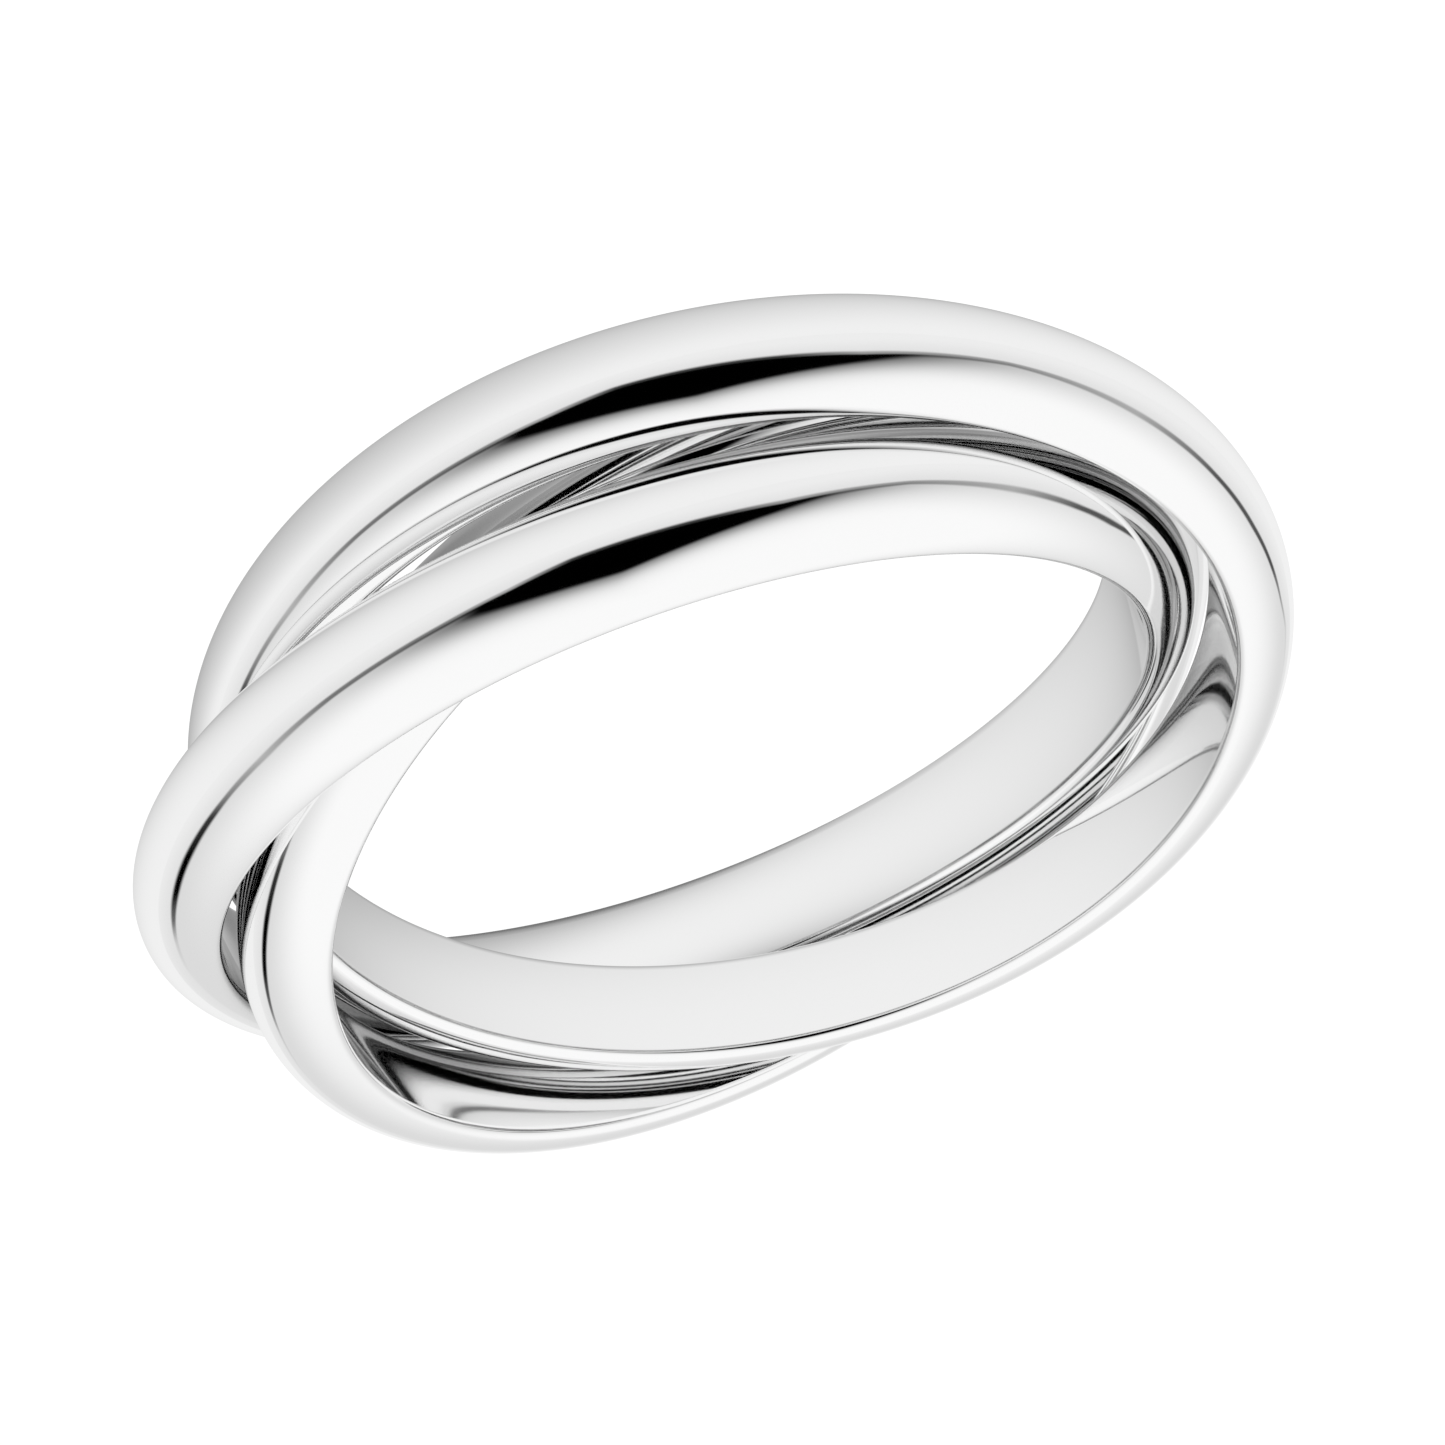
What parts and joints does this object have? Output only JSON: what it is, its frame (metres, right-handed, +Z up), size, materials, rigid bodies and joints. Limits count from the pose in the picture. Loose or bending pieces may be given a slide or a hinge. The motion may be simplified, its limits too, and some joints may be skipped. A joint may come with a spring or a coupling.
{
  "type": "rolling ring",
  "caption": "Finger ring of plain half-round polished metal bands, each linked through the others, so that they turn and roll over one another.",
  "frame": {"origin": "on the axis of the whole ring, at the level surface that it lies on", "axes": "+Z up along the axis of the whole ring, through the finger opening; +X towards the side that the third band's axis leans to"},
  "size_m": [0.0234, 0.0235, 0.0062],
  "materials": {
    "polished_metal": "mirror-polished white precious metal, such as silver"
  },
  "bodies": {
    "first": {"first_band": "polished_metal"},
    "second": {"second_band": "polished_metal"},
    "third": {"third_band": "polished_metal"}
  },
  "joints": [
    {"name": "second_band_turn", "type": "hinge", "parent": "first", "child": "second", "pos_m": [-0.00097, 0.00048, 0.00296], "axis": [-0.079, -0.1585, 0.9842], "continuous": true},
    {"name": "third_band_turn", "type": "hinge", "parent": "first", "child": "third", "pos_m": [0, -0.00108, 0.00278], "axis": [0.1582, 0, 0.9874], "continuous": true}
  ]
}
